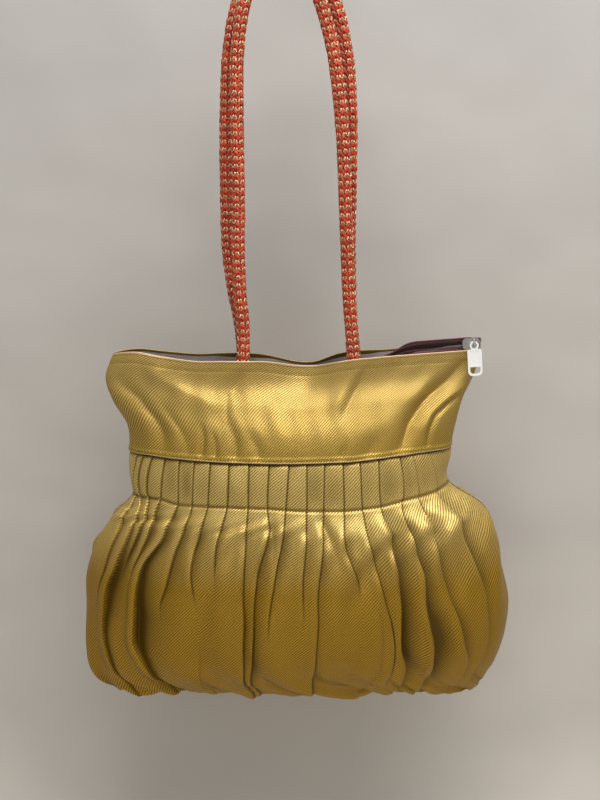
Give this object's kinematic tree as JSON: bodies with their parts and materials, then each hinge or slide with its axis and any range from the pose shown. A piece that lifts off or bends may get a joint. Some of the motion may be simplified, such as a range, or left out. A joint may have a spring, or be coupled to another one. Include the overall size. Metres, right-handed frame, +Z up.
{
  "type": "potli bag",
  "caption": "Gathered balloon-shaped potli handbag in gold satin twill with a plain yoke, pleated skirt, open zip and two knitted cord handles.",
  "frame": {"origin": "the point the bag hangs from: inside the top of the arches of its two cord handles, midway between them", "axes": "+Z up, X across the bag with the closed end of the zip at +X, the front at -Y"},
  "size_m": [0.2889, 0.115, 0.5041],
  "materials": {
    "gold_satin": "satin",
    "lining_satin": "satin",
    "zip_tape": "matte",
    "zip_coil": "satin",
    "zip_metal": "polished",
    "cord_yarn": "matte"
  },
  "bodies": {
    "bag": {"front_yoke": "gold_satin", "back_yoke": "gold_satin", "front_skirt": "gold_satin", "back_skirt": "gold_satin", "base_panel": "gold_satin", "lining": "lining_satin", "zip_tape_front": "zip_tape", "zip_tape_back": "zip_tape", "zip_coil_front": "zip_coil", "zip_coil_back": "zip_coil", "zip_bottom_stop": "zip_metal", "zip_top_stop_front": "zip_metal", "zip_top_stop_back": "zip_metal", "handle_front": "cord_yarn", "handle_back": "cord_yarn"},
    "slider": {"zip_slider": "zip_metal"},
    "pull": {"zip_pull": "zip_metal"}
  },
  "joints": [
    {"name": "zip_slide", "type": "slide", "parent": "bag", "child": "slider", "axis": [-0.9914, -0.1198, -0.0526], "range_m": [0, 0.028]},
    {"name": "zip_pull_swing", "type": "hinge", "parent": "slider", "child": "pull", "pos_m": [0.12652, -0.00647, -0.24446], "axis": [-0.9914, -0.1198, -0.0526], "range_deg": [0, 175]}
  ]
}
